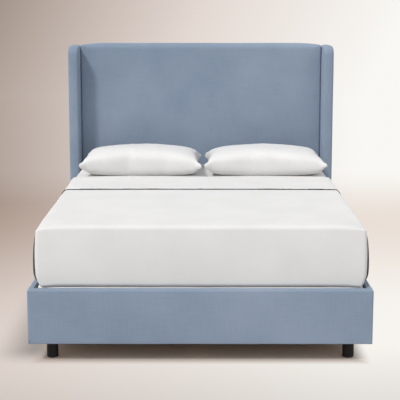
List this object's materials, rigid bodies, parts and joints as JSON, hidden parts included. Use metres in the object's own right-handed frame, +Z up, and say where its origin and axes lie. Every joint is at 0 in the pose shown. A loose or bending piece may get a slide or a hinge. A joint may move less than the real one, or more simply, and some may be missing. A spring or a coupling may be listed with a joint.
{
  "type": "upholstered bed",
  "caption": "Upholstered wingback bed with padded rails, slatted base, box spring, sheeted mattress and pillows.",
  "frame": {"origin": "on the floor under the middle of the bed's bounding box", "axes": "+Z up, +Y towards the headboard, +X to the right when seen from the foot"},
  "size_m": [1.68, 2.184, 1.409],
  "materials": {
    "blue_upholstery": "matte",
    "black_dust_cloth": "matte",
    "plywood": "matte",
    "pine": "matte",
    "upholstery_foam": "matte",
    "zinc_steel": "satin",
    "bolt_steel": "satin",
    "black_leg": "satin",
    "nylon": "satin",
    "box_spring_fabric": "matte",
    "cotton_felt": "matte",
    "mattress_foam": "matte",
    "ticking": "matte",
    "white_sheet": "matte",
    "grey_trim": "matte",
    "pillow_cotton": "matte"
  },
  "bodies": {
    "bed_frame": {"centre_beam": "pine", "centre_legs": "black_leg", "corner_block_left": "pine", "corner_block_right": "pine", "corner_iron_left": "zinc_steel", "corner_iron_right": "zinc_steel", "foot_rail_board": "pine", "foot_rail_cover": "blue_upholstery", "foot_rail_pad": "upholstery_foam", "front_leg_left": "black_leg", "front_leg_right": "black_leg", "head_plate_left": "zinc_steel", "head_plate_right": "zinc_steel", "headboard_back_cloth": "black_dust_cloth", "headboard_cover": "blue_upholstery", "headboard_frame": "pine", "headboard_pad": "upholstery_foam", "headboard_panel": "plywood", "leg_bolts": "bolt_steel", "leg_plates": "zinc_steel", "nail_glides": "nylon", "rail_bolts_left": "bolt_steel", "rail_bolts_right": "bolt_steel", "rear_leg_left": "black_leg", "rear_leg_right": "black_leg", "side_ledger_left": "pine", "side_ledger_right": "pine", "side_rail_board_left": "pine", "side_rail_board_right": "pine", "side_rail_cover_left": "blue_upholstery", "side_rail_cover_right": "blue_upholstery", "side_rail_pad_left": "upholstery_foam", "side_rail_pad_right": "upholstery_foam", "slats": "pine", "wing_bolts_left": "bolt_steel", "wing_bolts_right": "bolt_steel", "wing_cover_left": "blue_upholstery", "wing_cover_right": "blue_upholstery", "wing_frame_left": "plywood", "wing_frame_right": "plywood", "wing_pad_left": "upholstery_foam", "wing_pad_right": "upholstery_foam"},
    "box_spring": {"box_spring_base_frame": "pine", "box_spring_cover": "box_spring_fabric", "box_spring_deck_slats": "pine", "box_spring_dust_cloth": "black_dust_cloth", "box_spring_pad": "cotton_felt", "box_spring_posts": "pine", "box_spring_upper_frame": "pine"},
    "mattress": {"mattress_core": "mattress_foam", "mattress_ticking": "ticking", "fitted_sheet": "white_sheet", "flat_sheet": "white_sheet", "sheet_trim": "grey_trim"},
    "pillow_left": {"pillow_left": "pillow_cotton"},
    "pillow_right": {"pillow_right": "pillow_cotton"},
    "centre_glide_foot": {"centre_glide_foot": "nylon"},
    "centre_glide_middle": {"centre_glide_middle": "nylon"},
    "centre_glide_head": {"centre_glide_head": "nylon"}
  },
  "joints": [
    {"name": "box_spring_lift", "type": "slide", "parent": "bed_frame", "child": "box_spring", "axis": [0, 0, 1], "range_m": [0, 1.28]},
    {"name": "mattress_lift", "type": "slide", "parent": "box_spring", "child": "mattress", "axis": [0, 0, 1], "range_m": [0, 1.08]},
    {"name": "pillow_left_lift", "type": "slide", "parent": "mattress", "child": "pillow_left", "axis": [0, 0, 1], "range_m": [0, 0.8]},
    {"name": "pillow_right_lift", "type": "slide", "parent": "mattress", "child": "pillow_right", "axis": [0, 0, 1], "range_m": [0, 0.8]},
    {"name": "centre_glide_foot_screw", "type": "slide", "parent": "bed_frame", "child": "centre_glide_foot", "axis": [0, 0, -1], "range_m": [0, 0.012]},
    {"name": "centre_glide_middle_screw", "type": "slide", "parent": "bed_frame", "child": "centre_glide_middle", "axis": [0, 0, -1], "range_m": [0, 0.012]},
    {"name": "centre_glide_head_screw", "type": "slide", "parent": "bed_frame", "child": "centre_glide_head", "axis": [0, 0, -1], "range_m": [0, 0.012]}
  ]
}
